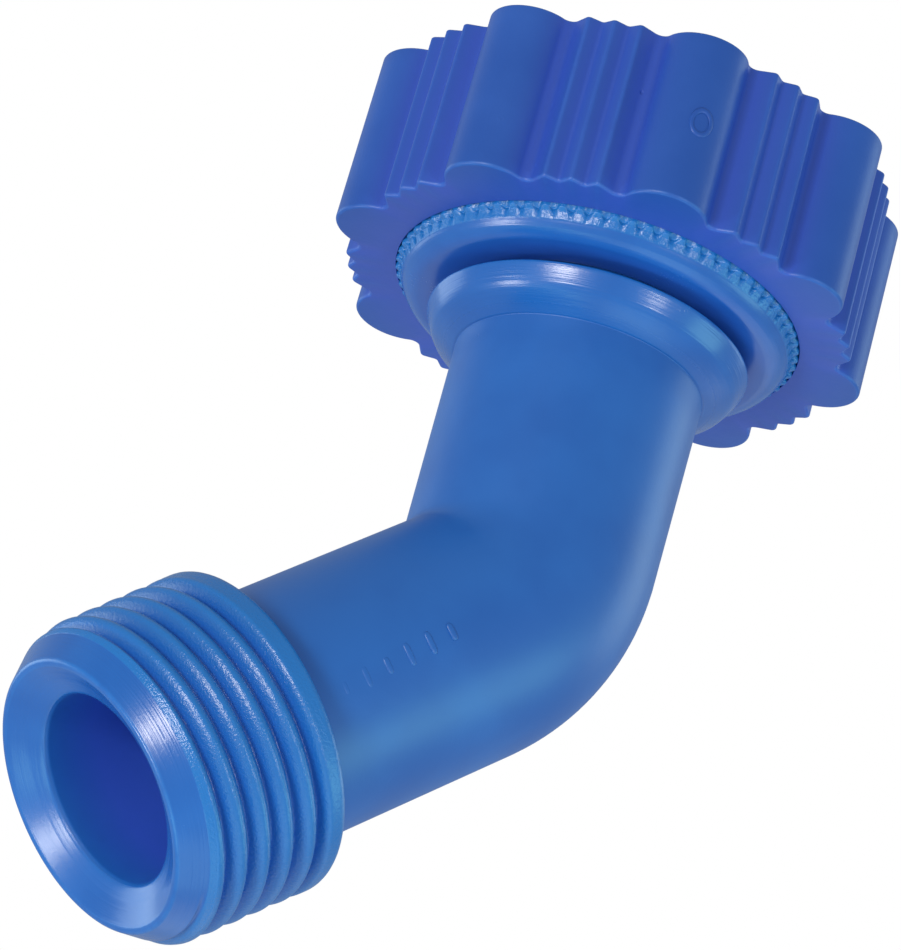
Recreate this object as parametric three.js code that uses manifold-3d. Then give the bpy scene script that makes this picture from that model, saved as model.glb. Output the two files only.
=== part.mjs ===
// Garden-hose elbow: a 45 degree bent tube with a male hose thread at one end and a swivelling,
// hand-tightened nut at the other. Millimetres, +Z up along the nut's axis. The origin is the centre
// of the washer's sealing face, where the tap's outlet meets the elbow; the hose leaves towards -X.

import * as THREE from 'three';
import Module from 'manifold-3d';
import { mergeVertices } from 'three/addons/utils/BufferGeometryUtils.js';

const wasm = await Module();
wasm.setup();

// ---- Hose thread, 3/4-11.5 NH ----
const THREAD_PITCH = 2.209;
const THREAD_MAJOR_R = 13.495;
const MALE_UNDERSIZE = 0.195; // radial, how far the moulded male crest stays below the major radius
const NUT_OVERSIZE = 0.105; // radial, how far the nut's thread root clears it
const THREAD_DEPTH = 1.2;
const THREAD_CREST_FLAT = 0.5;
const THREAD_ROOT_FLAT = 0.35;

// ---- Elbow ----
const BEND_ANGLE = THREE.MathUtils.degToRad(45);
const BEND_RADIUS = 12.4; // of the corner's fillet at the tube's centre line
const BEND_SPREAD = 1.13; // how fast that radius grows outwards: the inside corner is nearly sharp
const TUBE_R = 10.0;
const TUBE_WALL = 2.2;
const NECK_LENGTH = 24.6; // collar's top face to the point where the two axes cross
const MALE_LENGTH = 41.3; // the same point to the male end's lip
const COLLAR_R = 13.0;
const COLLAR_EDGE = 0.35; // rounding of the collar's top edge
const COLLAR_TAPER = 3.15; // height of the cone from the collar's edge down to the tube
const LIP_R = 11.25;
const LIP_FLAT = 0.5; // width of the flat sealing lip
const FUNNEL_DEPTH = 1.5;
const NOSE_LENGTH = 3.0; // of the cone that takes the first turns down to the lip
const THREAD_START = 0.81; // lip to the first crest, on the outside of the bend
const THREAD_TURNS = 5.6;
const THREAD_RUNOUT = 0.35; // turns over which the last groove fades out
const BARREL_LENGTH = 14.55; // lip to the end of the full diameter that carries the thread
const BARREL_TAPER = 0.55;

// ---- Tailpiece, the flanged insert welded into the collar ----
const SOCKET_WALL = 0.95; // of the tube round the socket that takes the spigot
const TAIL_WALL = 1.55;
const SPIGOT_LENGTH = 5.5;
const WELD_GAP = 0.3;
const STEM_STEP = 2.9; // how far the stem stands in from the collar's edge, so that the nut can't pass it
const FLANGE_STEP = 0.4; // how far the flange stands in from the washer's edge
const FLANGE_THICK = 2.2;

// ---- Washer ----
const WASHER_BORE_R = 7.95;
const WASHER_THICK = 3.0;
const WASHER_CHAMFER = 0.6;
const WASHER_SIDE_GAP = 0.15;
const SEAT_GAP = 0.1; // between the washer and what it rests on

// ---- Swivel nut ----
const NUT_FLOAT = 0.7; // how far the nut lifts before its shelf meets the flange
const FLOAT_MARGIN = 0.1;
const SHELF_THICK = 2.3; // the nut's inward shelf that the flange holds captive
const COLLAR_GAP = 1.2; // nut to collar
const RUNNING_GAP = 0.35; // radial, between the nut and what turns inside it
const CHAMBER_STEP = 0.75; // how far the washer's chamber stands in from the thread's root
const NUT_SHOWS = 2.07; // how far the nut stands out below the grip
const NUT_WALL = 2.7; // thread's root to the tips of the knurl
const KNURL_TEETH = 72;
const KNURL_DEPTH = 0.6;
const KNURL_END = 0.4; // radial step where the teeth end above the rounded shoulder
const NUT_ROUND = 2.0; // rounding of the nut's bottom edge
const LEAD_IN = 1.0;
const LEAD_IN_FLARE = 0.5;

// ---- Grip ring, pressed over the nut's knurl ----
const GRIP_HEIGHT = 14.8;
const GRIP_WALL = 2.95; // bore to the bottom of the valley beside a lobe
const GRIP_DRAFT = 0.3; // how much smaller the top is, in radius
const GRIP_PRESS_GAP = 0.25;
const RIM_RECESS = 0.5; // nut's rim below the grip's top face
const LOBES = 8;
const LOBE_R = 3.55;
const LOBE_RISE = 2.45; // of a lobe's top above the valley
const LOBE_PHASE = THREE.MathUtils.degToRad(-8.8);
const RIDGES = 3; // small ridges between two lobes
const RIDGE_STEP = THREE.MathUtils.degToRad(6.1);
const RIDGE_TIP_RISE = 0.9; // above the valley
const RIDGE_ROOT_RISE = 0.25;
const VALLEY_OFFSET = 0.9; // of a ridge step, from the outermost ridge to the valley

// ---- Fineness of the round surfaces ----
const AROUND = 48;
const THREAD_STEPS = 32; // per turn
const BEND_STEPS = 9;
const LOBE_STEPS = 8;
const ON_PLANE = 1e-3; // a point this close to a station counts as lying on it
const CUT_BEYOND = 1; // how far a cutter runs past the face that it cuts

// ---- Radii that follow from the sizes above ----
const MALE_CREST_R = THREAD_MAJOR_R - MALE_UNDERSIZE;
const NUT_ROOT_R = THREAD_MAJOR_R + NUT_OVERSIZE;
const BORE_R = TUBE_R - TUBE_WALL;
const SPIGOT_R = TUBE_R - SOCKET_WALL - WELD_GAP;
const TAIL_BORE_R = SPIGOT_R - TAIL_WALL;
const STEM_R = COLLAR_R - STEM_STEP;
const CHAMBER_R = NUT_ROOT_R - CHAMBER_STEP;
const WASHER_R = CHAMBER_R - WASHER_SIDE_GAP;
const FLANGE_R = WASHER_R - FLANGE_STEP;
const KNURL_TIP_R = NUT_ROOT_R + NUT_WALL;
const GRIP_BORE_R = KNURL_TIP_R + GRIP_PRESS_GAP;
const VALLEY_R = GRIP_BORE_R + GRIP_WALL;
const GRIP_R = VALLEY_R + LOBE_RISE;

// ---- Heights that follow ----
const FLANGE_TOP = -WASHER_THICK - SEAT_GAP;
const FLANGE_BOTTOM = FLANGE_TOP - FLANGE_THICK;
const SHELF_TOP = FLANGE_BOTTOM - NUT_FLOAT - FLOAT_MARGIN;
const NUT_BOTTOM = SHELF_TOP - SHELF_THICK;
const COLLAR_TOP = NUT_BOTTOM - COLLAR_GAP;
const GRIP_BOTTOM = NUT_BOTTOM + NUT_SHOWS;
const NUT_TOP = GRIP_BOTTOM + GRIP_HEIGHT - RIM_RECESS;

// The elbow is drawn straight, along -Z, and then bent: these are its stations along the centre line.
const BEND_SETBACK = BEND_RADIUS * Math.tan(BEND_ANGLE / 2);
const NECK_STRAIGHT = NECK_LENGTH - BEND_SETBACK;
const MALE_STRAIGHT = MALE_LENGTH - BEND_SETBACK;
const BEND_ARC = BEND_RADIUS * BEND_ANGLE;
const LIP = COLLAR_TOP - NECK_STRAIGHT - BEND_ARC - MALE_STRAIGHT;

const point = (r, z) => new THREE.Vector2(r, z);

// ---- Solids ----

// A geometry's triangles as a closed solid with its faces pointing out.
function solidOf(geometry) {
  const bare = geometry.clone();
  bare.deleteAttribute('normal');
  bare.deleteAttribute('uv');
  const merged = mergeVertices(bare, 1e-4);
  const corners = Array.from(merged.index.array);
  const at = (i) => new THREE.Vector3().fromBufferAttribute(merged.attributes.position, i);
  const kept = [];
  let volume = 0;
  for (let i = 0; i < corners.length; i += 3) {
    const [a, b, c] = corners.slice(i, i + 3);
    if (a === b || b === c || a === c) continue;
    kept.push([a, b, c]);
    volume += at(a).dot(at(b).cross(at(c)));
  }
  if (volume < 0) kept.forEach((triangle) => triangle.reverse());
  return new wasm.Manifold(new wasm.Mesh({
    numProp: 3,
    vertProperties: new Float32Array(merged.attributes.position.array),
    triVerts: new Uint32Array(kept.flat()),
  }));
}

function geometryOf(solid) {
  const mesh = solid.getMesh();
  const geometry = new THREE.BufferGeometry();
  geometry.setAttribute('position', new THREE.BufferAttribute(mesh.vertProperties, 3));
  geometry.setIndex(new THREE.BufferAttribute(mesh.triVerts, 1));
  geometry.computeVertexNormals();
  return geometry;
}

// A closed outline of [radius, z] points turned about the Z axis.
function turned(outline, segments = AROUND) {
  const geometry = new THREE.LatheGeometry([...outline, outline[0]], segments);
  geometry.rotateX(Math.PI / 2);
  return geometry;
}

// Points of a rounding from one angle to another about a centre in the (radius, z) plane.
function rounding(centre, radius, from, to, steps) {
  const points = [];
  for (let i = 0; i <= steps; i += 1) {
    const angle = THREE.MathUtils.degToRad(from + ((to - from) * i) / steps);
    points.push(point(centre.x + radius * Math.cos(angle), centre.y + radius * Math.sin(angle)));
  }
  return points;
}

// A bar with a trapezoid section wound right-handed about Z, to be added to a wall as a thread's ridge
// or cut from it as its groove. It runs from the wall's radius to the tip's, its axial widths there are
// wallWidth and tipWidth, and its ends fade into the wall over part of a turn.
function threadBar({ wall, tip, wallWidth, tipWidth, start, turns, fadeIn, fadeOut }) {
  const height = tip - wall;
  const slope = (wallWidth - tipWidth) / 2 / Math.abs(height);
  const buried = THREAD_PITCH / 10;
  const section = new THREE.Shape([
    point(-Math.sign(height) * buried, -wallWidth / 2 - slope * buried),
    point(height, -tipWidth / 2),
    point(height, tipWidth / 2),
    point(-Math.sign(height) * buried, wallWidth / 2 + slope * buried),
  ]);
  const bar = new THREE.ExtrudeGeometry(section, {
    depth: turns, steps: Math.round(turns * THREAD_STEPS), bevelEnabled: false,
  });
  const position = bar.attributes.position;
  for (let i = 0; i < position.count; i += 1) {
    const along = position.getZ(i);
    const rise = Math.min(1, along / fadeIn, (turns - along) / fadeOut) - ON_PLANE;
    const lift = position.getX(i);
    const radius = wall + (lift * height > 0 ? lift * rise : lift);
    const angle = 2 * Math.PI * along;
    const z = start + along * THREAD_PITCH + position.getY(i);
    position.setXYZ(i, radius * Math.cos(angle), radius * Math.sin(angle), z);
  }
  return bar;
}

// Bends what is drawn straight along -Z round the elbow's corner, towards -X. Each line along the tube
// turns the corner on a fillet of its own radius.
function bend(geometry) {
  const position = geometry.attributes.position;
  const corner = COLLAR_TOP - NECK_LENGTH;
  const arcTop = COLLAR_TOP - NECK_STRAIGHT;
  const [cosBend, sinBend] = [Math.cos(BEND_ANGLE), Math.sin(BEND_ANGLE)];
  for (let i = 0; i < position.count; i += 1) {
    const run = arcTop - position.getZ(i);
    if (run < -ON_PLANE) continue;
    const offset = position.getX(i);
    const reach = run - BEND_ARC + BEND_SETBACK;
    let x = offset * cosBend - reach * sinBend;
    let z = corner - offset * sinBend - reach * cosBend;
    if (run < BEND_ARC + ON_PLANE) {
      const fillet = BEND_RADIUS + BEND_SPREAD * offset;
      const angle = THREE.MathUtils.clamp(run / BEND_RADIUS, 0, BEND_ANGLE);
      x = offset - fillet + fillet * Math.cos(angle);
      z = corner - (offset - fillet) * Math.tan(BEND_ANGLE / 2) - fillet * Math.sin(angle);
    }
    position.setXYZ(i, x, position.getY(i), z);
  }
  return geometry;
}

// ---- Pieces ----

// The whole tube, inside and outside, as one outline from the collar to the lip and back up the bore.
function tubeOutline() {
  const bendStations = [];
  for (let i = 0; i <= BEND_STEPS; i += 1) {
    bendStations.push(COLLAR_TOP - NECK_STRAIGHT - (BEND_ARC * i) / BEND_STEPS);
  }
  const socketFloor = COLLAR_TOP - SPIGOT_LENGTH - WELD_GAP;
  return [
    ...rounding(point(COLLAR_R - COLLAR_EDGE, COLLAR_TOP - COLLAR_EDGE), COLLAR_EDGE, 90, -20, 3),
    point(TUBE_R, COLLAR_TOP - COLLAR_TAPER),
    ...bendStations.map((z) => point(TUBE_R, z)),
    point(TUBE_R, LIP + BARREL_LENGTH + BARREL_TAPER),
    point(MALE_CREST_R, LIP + BARREL_LENGTH),
    point(MALE_CREST_R, LIP + NOSE_LENGTH),
    point(LIP_R, LIP),
    point(LIP_R - LIP_FLAT, LIP),
    point(BORE_R, LIP + FUNNEL_DEPTH),
    ...bendStations.slice().reverse().map((z) => point(BORE_R, z)),
    point(BORE_R, socketFloor),
    point(SPIGOT_R + WELD_GAP, socketFloor),
    point(SPIGOT_R + WELD_GAP, COLLAR_TOP),
  ];
}

function elbowBody() {
  const groove = threadBar({
    wall: MALE_CREST_R,
    tip: MALE_CREST_R - THREAD_DEPTH,
    wallWidth: THREAD_PITCH - THREAD_CREST_FLAT,
    tipWidth: THREAD_ROOT_FLAT,
    start: LIP + THREAD_START + THREAD_PITCH / 2,
    turns: THREAD_TURNS,
    fadeIn: ON_PLANE,
    fadeOut: THREAD_RUNOUT,
  });
  return geometryOf(solidOf(bend(turned(tubeOutline()))).subtract(solidOf(bend(groove))));
}

function tailpiece() {
  return geometryOf(solidOf(turned([
    point(TAIL_BORE_R, COLLAR_TOP - SPIGOT_LENGTH),
    point(SPIGOT_R, COLLAR_TOP - SPIGOT_LENGTH),
    point(SPIGOT_R, COLLAR_TOP + SEAT_GAP),
    point(STEM_R, COLLAR_TOP + SEAT_GAP),
    point(STEM_R, FLANGE_BOTTOM),
    point(FLANGE_R, FLANGE_BOTTOM),
    point(FLANGE_R, FLANGE_TOP),
    point(TAIL_BORE_R, FLANGE_TOP),
  ])));
}

function hoseWasher() {
  return geometryOf(solidOf(turned([
    point(WASHER_BORE_R, -WASHER_THICK),
    point(WASHER_R, -WASHER_THICK),
    point(WASHER_R, -WASHER_CHAMFER),
    point(WASHER_R - WASHER_CHAMFER, 0),
    point(WASHER_BORE_R, 0),
  ])));
}

// The nut's outside: a toothed prism whose teeth end in a step above a rounded shoulder.
function knurledBlank() {
  const teeth = [];
  const half = Math.PI / KNURL_TEETH;
  for (let i = 0; i < 2 * KNURL_TEETH; i += 1) {
    const radius = i % 2 === 0 ? KNURL_TIP_R : KNURL_TIP_R - KNURL_DEPTH;
    teeth.push(point(radius * Math.cos(i * half), radius * Math.sin(i * half)));
  }
  const prism = new THREE.ExtrudeGeometry(new THREE.Shape(teeth), {
    depth: NUT_TOP - NUT_BOTTOM, bevelEnabled: false,
  });
  prism.translate(0, 0, NUT_BOTTOM);
  const shoulder = point(KNURL_TIP_R - KNURL_END - NUT_ROUND, NUT_BOTTOM + NUT_ROUND);
  const beyond = KNURL_TIP_R + CUT_BEYOND;
  const envelope = turned([
    point(0, NUT_BOTTOM),
    ...rounding(shoulder, NUT_ROUND, -90, -8, 5),
    point(beyond, shoulder.y + CUT_BEYOND),
    point(beyond, NUT_TOP + CUT_BEYOND),
    point(0, NUT_TOP + CUT_BEYOND),
  ], KNURL_TEETH);
  return solidOf(prism).intersect(solidOf(envelope));
}

function swivelNut() {
  const threadTop = NUT_TOP - LEAD_IN;
  const throat = STEM_R + RUNNING_GAP;
  const hollow = turned([
    point(0, NUT_BOTTOM - CUT_BEYOND),
    point(throat + RUNNING_GAP + CUT_BEYOND, NUT_BOTTOM - CUT_BEYOND),
    point(throat, NUT_BOTTOM + RUNNING_GAP),
    point(throat, SHELF_TOP),
    point(CHAMBER_R, SHELF_TOP),
    point(CHAMBER_R, SEAT_GAP),
    point(NUT_ROOT_R, SEAT_GAP + CHAMBER_STEP),
    point(NUT_ROOT_R, threadTop),
    point(NUT_ROOT_R + LEAD_IN_FLARE, NUT_TOP),
    point(NUT_ROOT_R + LEAD_IN_FLARE, NUT_TOP + CUT_BEYOND),
    point(0, NUT_TOP + CUT_BEYOND),
  ]);
  const ridge = threadBar({
    wall: NUT_ROOT_R,
    tip: NUT_ROOT_R - THREAD_DEPTH,
    wallWidth: THREAD_PITCH - THREAD_ROOT_FLAT,
    tipWidth: THREAD_CREST_FLAT,
    start: SEAT_GAP + THREAD_PITCH / 2,
    turns: (threadTop - SEAT_GAP) / THREAD_PITCH - 1,
    fadeIn: THREAD_RUNOUT,
    fadeOut: THREAD_RUNOUT,
  });
  return geometryOf(knurledBlank().subtract(solidOf(hollow)).add(solidOf(ridge)));
}

// One sector of the grip's outline: a round lobe, then the small ridges up to the next lobe.
function gripSector(middle) {
  const polar = (r, angle) => point(r * Math.cos(middle + angle), r * Math.sin(middle + angle));
  const lobeCentre = polar(GRIP_R - LOBE_R, 0);
  const points = [];
  for (let i = 0; i <= LOBE_STEPS; i += 1) {
    const turn = middle - Math.PI / 2 + (Math.PI * i) / LOBE_STEPS;
    points.push(point(lobeCentre.x + LOBE_R * Math.cos(turn), lobeCentre.y + LOBE_R * Math.sin(turn)));
  }
  const half = Math.PI / LOBES;
  const firstRidge = half - ((RIDGES - 1) / 2) * RIDGE_STEP;
  points.push(polar(VALLEY_R, firstRidge - VALLEY_OFFSET * RIDGE_STEP));
  for (let i = 0; i < RIDGES; i += 1) {
    if (i > 0) points.push(polar(VALLEY_R + RIDGE_ROOT_RISE, firstRidge + (i - 0.5) * RIDGE_STEP));
    points.push(polar(VALLEY_R + RIDGE_TIP_RISE, firstRidge + i * RIDGE_STEP));
  }
  points.push(polar(VALLEY_R, firstRidge + (RIDGES - 1 + VALLEY_OFFSET) * RIDGE_STEP));
  return points;
}

function gripRing() {
  const outline = [];
  for (let i = 0; i < LOBES; i += 1) outline.push(...gripSector(LOBE_PHASE + (2 * Math.PI * i) / LOBES));
  const shape = new THREE.Shape(outline);
  shape.holes.push(new THREE.Path().absarc(0, 0, GRIP_BORE_R, 0, 2 * Math.PI, true));
  const ring = new THREE.ExtrudeGeometry(shape, {
    depth: GRIP_HEIGHT, bevelEnabled: false, curveSegments: KNURL_TEETH,
  });
  const position = ring.attributes.position;
  for (let i = 0; i < position.count; i += 1) {
    const [x, y, z] = [position.getX(i), position.getY(i), position.getZ(i)];
    const outside = Math.hypot(x, y) > (GRIP_BORE_R + VALLEY_R) / 2;
    const shrink = outside ? 1 - ((GRIP_DRAFT / GRIP_R) * z) / GRIP_HEIGHT : 1;
    position.setXYZ(i, x * shrink, y * shrink, z + GRIP_BOTTOM);
  }
  return geometryOf(solidOf(ring));
}

// ---- The assembly ----

const GLOSSY_BLUE = { color: 0x2b66b8, roughness: 0.32, metalness: 0 };
const SATIN_BLUE = { color: 0x3558a8, roughness: 0.48, metalness: 0 };
const RUBBER_BLACK = { color: 0x1c1d20, roughness: 0.8, metalness: 0 };

function piece(name, geometry, look) {
  const mesh = new THREE.Mesh(geometry, new THREE.MeshStandardMaterial(look));
  mesh.name = name;
  return mesh;
}

const elbow = new THREE.Group();
elbow.add(piece('elbow_body', elbowBody(), GLOSSY_BLUE));
elbow.add(piece('tailpiece', tailpiece(), GLOSSY_BLUE));

const nut = new THREE.Group();
nut.add(piece('swivel_nut', swivelNut(), GLOSSY_BLUE));
nut.add(piece('grip_ring', gripRing(), SATIN_BLUE));

const part = new THREE.Group();
part.add(elbow, piece('hose_washer', hoseWasher(), RUBBER_BLACK), nut);

export default part;
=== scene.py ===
"""A garden-hose elbow in blue moulded plastic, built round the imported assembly.

Shapes are drawn in millimetres and stored in metres. The elbow is drawn straight along -Z and then bent,
so that its thread, funnel and collar are plain turned shapes while they are made.
"""

import math

import bmesh
import bpy
from mathutils import Matrix, Vector


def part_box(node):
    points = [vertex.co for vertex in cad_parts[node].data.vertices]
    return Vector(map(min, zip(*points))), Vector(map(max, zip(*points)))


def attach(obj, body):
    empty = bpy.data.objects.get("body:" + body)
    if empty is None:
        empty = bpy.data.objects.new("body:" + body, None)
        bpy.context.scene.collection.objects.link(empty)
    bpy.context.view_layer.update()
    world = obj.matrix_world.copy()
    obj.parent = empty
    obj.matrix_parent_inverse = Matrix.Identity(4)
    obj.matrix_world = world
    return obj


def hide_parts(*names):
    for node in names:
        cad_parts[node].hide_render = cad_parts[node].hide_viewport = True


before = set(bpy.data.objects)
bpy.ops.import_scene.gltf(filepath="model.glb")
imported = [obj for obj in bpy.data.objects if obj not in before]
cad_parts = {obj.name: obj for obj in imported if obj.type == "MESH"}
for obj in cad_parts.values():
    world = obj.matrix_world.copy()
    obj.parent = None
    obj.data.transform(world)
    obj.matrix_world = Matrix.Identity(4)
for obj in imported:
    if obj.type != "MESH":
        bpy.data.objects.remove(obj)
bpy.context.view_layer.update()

MM = 0.001


def node_mm(name):
    """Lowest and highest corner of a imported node, in millimetres."""
    low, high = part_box(name)
    return [v / MM for v in low], [v / MM for v in high]


# ---- Sizes, in millimetres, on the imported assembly's own heights ----

elbow_high = node_mm("elbow_body")[1]
tail_low, tail_high = node_mm("tailpiece")
nut_low, nut_high = node_mm("swivel_nut")
grip_low, grip_high = node_mm("grip_ring")
washer_low, washer_high = node_mm("hose_washer")

BEND_ANGLE = math.radians(45)
BEND_RADIUS = 12.4
BEND_SPREAD = 1.13
TUBE_R = 10.0
TUBE_FLARE = 0.28  # how much wider the tube is where it meets the thread
BORE_R = 7.8
NECK_LENGTH = 24.6
MALE_LENGTH = 41.3
COLLAR_TOP = elbow_high[2]
COLLAR_R = elbow_high[0]
COLLAR_TAPER = 3.15
COLLAR_LIP = 0.35  # the nearly upright band under the collar's top edge
COLLAR_LIP_LEAN = 0.06
COLLAR_BREAK = 1.85  # below the collar's top, where its upper wall turns in towards the tube
COLLAR_LEAN = 0.8
COLLAR_STEP = 0.22  # small ledge where the collar's cone stands on the tube
SPIGOT_DEPTH = 5.8
SEAT_GAP = 0.1  # between faces that rest on each other
TAIL_BORE_R = 7.2
TAIL_STEM_R = 10.1
FLANGE_THICK = 2.2
FLANGE_PAST_SPIGOT = 3.55  # how far the flange stands out past the spigot
WASHER_BORE_R = 7.95
SPIGOT_WALL_R = 9.05
LIP_R = 11.25
LIP_FLAT = 0.5
FUNNEL_DEPTH = 1.5
FUNNEL_FLARE = 1.35  # how much wider than the bore the funnel is at its waist
FUNNEL_WAIST = 0.64  # of its depth, where the funnel's slope steepens
BORE_SHADE_RUN = 5.0  # length over which the bore's painted shade deepens to its full strength
NOSE_LENGTH = 3.0
BARREL_LENGTH = 15.0
CREST_R = elbow_high[1]
THREAD_PITCH = 2.209
THREAD_DEPTH = 1.2
THREAD_START = 0.81
KNURL_TEETH = 72
KNURL_TIP_R = nut_high[0]
KNURL_DEPTH = 0.40
KNURL_END = 0.4  # how far the teeth stand out from the rounded shoulder
KNURL_CHAMFER = 0.22
KNURL_HIDDEN = 0.04  # how far the notches run on behind the grip's face
SHOULDER_FLAT = 0.6  # the plain slope between the rounded shoulder and the teeth
SHOULDER_TURN = math.radians(-25)
TOOTH_FOOT = -6.78
SHELF_TOP = -6.1
THROAT_R = 10.45
CHAMBER_TOP = 0.1
NUT_THREAD_FOOT = 0.85
CHAMBER_R = 12.85
NUT_ROOT_R = 13.6
LEAD_IN = 1.0
GAP_SHADE = 0.55  # how far the nut's inner walls go towards the painted shade colour
GAP_SHADE_FROM = 15.2
GAP_SHADE_RUN = 2.6
GRIP_R = 21.95
GRIP_DRAFT = 0.3
GRIP_BORE_R = KNURL_TIP_R + 0.03
GRIP_EDGE = 0.3
TICKS_FROM = 11.6  # from the corner of the elbow, along its male leg
TICK_STEP = 2.15
TICK_ANGLE = math.radians(-86)
TICK_HALF = 0.3
TICK_PROUD = 0.25
TICK_DRIFT = 0.015  # radians by which each tick stands further round than the last
TICK_HALF_WIDTHS = (0.75, 1.0, 1.0, 0.75, 1.0, 0.75)
GATE_HEIGHT = 0.75
GATE_OFFSET = 0.5
GATE_HALF_WIDTH = 0.8
GATE_HALF_HEIGHT = 1.05
GATE_WIRE = 0.2
GROOVE_SHADE = 0.5  # how far a full thread groove goes towards the painted shade colour
RIM_REACH = 0.28  # edges rounded more tightly than this count as rims
LOBES = 8
LOBE_R = 3.55
LOBE_PHASE = math.radians(-8.8)
LOBE_TURN = math.radians(70)  # of the lobe's arc, from its top to where the valley takes over
VALLEY_REACH = 0.95
VALLEY_ROUND = 0.8
RIDGE_STEP = math.radians(6.1)
RIDGE_TIP_R = 20.5
RIDGE_ROOT_R = 19.75

bend_setback = BEND_RADIUS * math.tan(BEND_ANGLE / 2)
bend_arc = BEND_RADIUS * BEND_ANGLE
bend_top = COLLAR_TOP - (NECK_LENGTH - bend_setback)
bend_end = bend_top - bend_arc
corner_z = COLLAR_TOP - NECK_LENGTH
lip_z = bend_end - (MALE_LENGTH - bend_setback)


# ---- Node trees written as formulas ----


class Num:
    """A value in a node tree. Its arithmetic adds Math nodes to the tree."""

    def __init__(self, tree, socket):
        self.tree = tree
        self.socket = socket

    def op(self, operation, *others):
        node = self.tree.nodes.new("ShaderNodeMath")
        node.operation = operation
        for i, value in enumerate((self, *others)):
            if isinstance(value, Num):
                self.tree.links.new(value.socket, node.inputs[i])
            else:
                node.inputs[i].default_value = value
        return Num(self.tree, node.outputs[0])

    def __add__(self, other):
        return self.op("ADD", other)

    def __sub__(self, other):
        return self.op("SUBTRACT", other)

    def __mul__(self, other):
        return self.op("MULTIPLY", other)

    def __truediv__(self, other):
        return self.op("DIVIDE", other)

    def flipped(self):
        return self * -1.0

    def least(self, other):
        return self.op("MINIMUM", other)

    def most(self, other):
        return self.op("MAXIMUM", other)

    def clamped(self):
        return self.most(0.0).least(1.0)

    def ease(self, start, end):
        """0 below start, 1 above end, with a smooth change between them."""
        t = ((self - start) / (end - start)).clamped()
        return t * t * (t * -2.0 + 3.0)


def add_sockets(tree, inputs, outputs):
    for name, kind, default in inputs:
        socket = tree.interface.new_socket(name, in_out="INPUT", socket_type=kind)
        if default is not None:
            socket.default_value = default
    for name, kind in outputs:
        tree.interface.new_socket(name, in_out="OUTPUT", socket_type=kind)


GEO = "NodeSocketGeometry"
FLOAT = "NodeSocketFloat"
MATERIAL = "NodeSocketMaterial"


class Shaping:
    """A Geometry Nodes tree that reworks a mesh and ends in Realize Instances and Set Material."""

    def __init__(self, name, inputs):
        self.tree = bpy.data.node_groups.new(name, "GeometryNodeTree")
        add_sockets(
            self.tree,
            [("Geometry", GEO, None)] + inputs + [("Material", MATERIAL, None)],
            [("Geometry", GEO)],
        )
        self.into = self.tree.nodes.new("NodeGroupInput")
        self.out = self.tree.nodes.new("NodeGroupOutput")
        self.geometry = self.into.outputs["Geometry"]

    def node(self, kind, **settings):
        node = self.tree.nodes.new(kind)
        for key, value in settings.items():
            setattr(node, key, value)
        return node

    def link(self, start, end):
        self.tree.links.new(start.socket if isinstance(start, Num) else start, end)

    def value(self, name):
        return Num(self.tree, self.into.outputs[name])

    def place(self):
        """The vertex's x, y and z in millimetres."""
        split = self.node("ShaderNodeSeparateXYZ")
        self.link(self.node("GeometryNodeInputPosition").outputs[0], split.inputs[0])
        return [Num(self.tree, out) * (1 / MM) for out in split.outputs]

    def attribute(self, name):
        read = self.node("GeometryNodeInputNamedAttribute", data_type="FLOAT")
        read.inputs["Name"].default_value = name
        return Num(self.tree, read.outputs["Attribute"])

    def keep(self, name, value):
        """Stores a value on the vertices for the material to read."""
        store = self.node("GeometryNodeStoreNamedAttribute", data_type="FLOAT", domain="POINT")
        store.inputs["Name"].default_value = name
        self.link(self.geometry, store.inputs["Geometry"])
        self.link(value, store.inputs["Value"])
        self.geometry = store.outputs["Geometry"]

    def move_to(self, x, y, z):
        joined = self.node("ShaderNodeCombineXYZ")
        for value, socket in zip((x, y, z), joined.inputs):
            self.link(value * MM, socket)
        mover = self.node("GeometryNodeSetPosition")
        self.link(self.geometry, mover.inputs["Geometry"])
        self.link(joined.outputs[0], mover.inputs["Position"])
        self.geometry = mover.outputs["Geometry"]

    def set_radius(self, x, y, z, radius):
        around = y.op("ARCTAN2", x)
        self.move_to(around.op("COSINE") * radius, around.op("SINE") * radius, z)

    def finish(self):
        real = self.node("GeometryNodeRealizeInstances")
        self.link(self.geometry, real.inputs[0])
        paint = self.node("GeometryNodeSetMaterial")
        self.link(real.outputs[0], paint.inputs["Geometry"])
        self.link(self.into.outputs["Material"], paint.inputs["Material"])
        self.link(paint.outputs[0], self.out.inputs[0])
        return self.tree


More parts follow.
